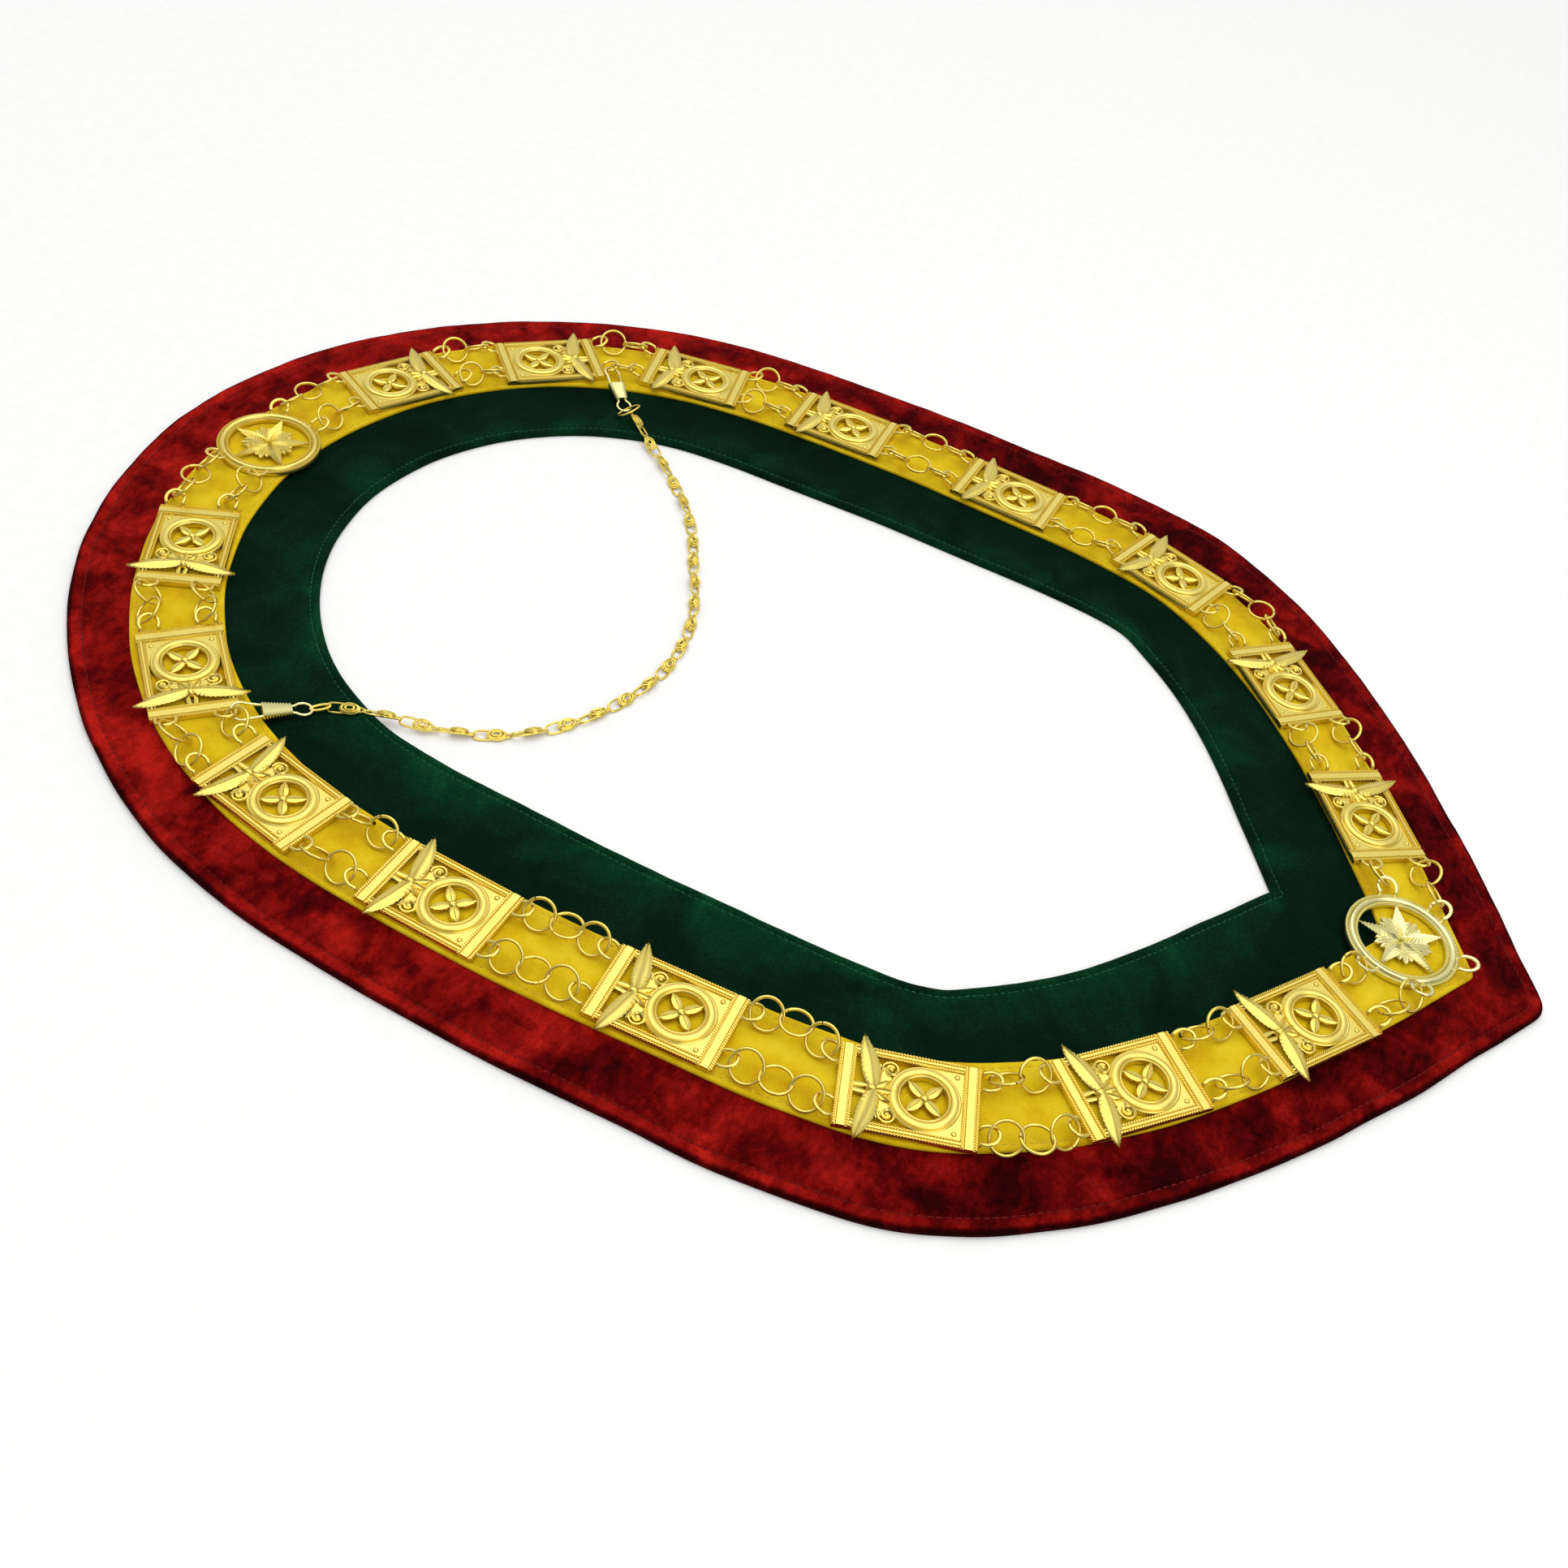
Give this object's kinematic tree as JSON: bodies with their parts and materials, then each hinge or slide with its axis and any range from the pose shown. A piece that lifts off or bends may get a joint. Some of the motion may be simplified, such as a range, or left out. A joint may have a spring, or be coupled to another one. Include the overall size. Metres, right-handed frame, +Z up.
{
  "type": "chain collar",
  "caption": "Ceremonial neck collar of pierced gilt plates linked by small rings over felt and velvet bands, with a fine clipped neck chain.",
  "frame": {"origin": "on the surface that the collar lies on, under the middle of its width and length", "axes": "+Z up from the back of the cloth to the plates' faces, +Y from the pointed front to the back of the neck, +X to the right"},
  "size_m": [0.41, 0.5756, 0.0119],
  "materials": {
    "gilt_metal": "polished gold plate with satin fields",
    "red_velvet": "crushed red velvet",
    "green_velvet": "dark green velvet",
    "yellow_felt": "bright yellow felt"
  },
  "bodies": {
    "root": {"clip_left": "gilt_metal", "clip_right": "gilt_metal", "green_velvet_band": "green_velvet", "medallion_back": "gilt_metal", "medallion_front": "gilt_metal", "neck_chain": "gilt_metal", "plate_left_1": "gilt_metal", "plate_left_2": "gilt_metal", "plate_left_3": "gilt_metal", "plate_left_4": "gilt_metal", "plate_left_5": "gilt_metal", "plate_left_6": "gilt_metal", "plate_left_7": "gilt_metal", "plate_left_8": "gilt_metal", "plate_right_1": "gilt_metal", "plate_right_2": "gilt_metal", "plate_right_3": "gilt_metal", "plate_right_4": "gilt_metal", "plate_right_5": "gilt_metal", "plate_right_6": "gilt_metal", "plate_right_7": "gilt_metal", "plate_right_8": "gilt_metal", "red_velvet_band": "red_velvet", "rings_left_inner_1": "gilt_metal", "rings_left_inner_2": "gilt_metal", "rings_left_inner_3": "gilt_metal", "rings_left_inner_4": "gilt_metal", "rings_left_inner_5": "gilt_metal", "rings_left_inner_6": "gilt_metal", "rings_left_inner_7": "gilt_metal", "rings_left_inner_8": "gilt_metal", "rings_left_inner_9": "gilt_metal", "rings_left_outer_1": "gilt_metal", "rings_left_outer_2": "gilt_metal", "rings_left_outer_3": "gilt_metal", "rings_left_outer_4": "gilt_metal", "rings_left_outer_5": "gilt_metal", "rings_left_outer_6": "gilt_metal", "rings_left_outer_7": "gilt_metal", "rings_left_outer_8": "gilt_metal", "rings_left_outer_9": "gilt_metal", "rings_right_inner_1": "gilt_metal", "rings_right_inner_2": "gilt_metal", "rings_right_inner_3": "gilt_metal", "rings_right_inner_4": "gilt_metal", "rings_right_inner_5": "gilt_metal", "rings_right_inner_6": "gilt_metal", "rings_right_inner_7": "gilt_metal", "rings_right_inner_8": "gilt_metal", "rings_right_inner_9": "gilt_metal", "rings_right_outer_1": "gilt_metal", "rings_right_outer_2": "gilt_metal", "rings_right_outer_3": "gilt_metal", "rings_right_outer_4": "gilt_metal", "rings_right_outer_5": "gilt_metal", "rings_right_outer_6": "gilt_metal", "rings_right_outer_7": "gilt_metal", "rings_right_outer_8": "gilt_metal", "rings_right_outer_9": "gilt_metal", "yellow_felt_ribbon": "yellow_felt"}
  },
  "joints": []
}
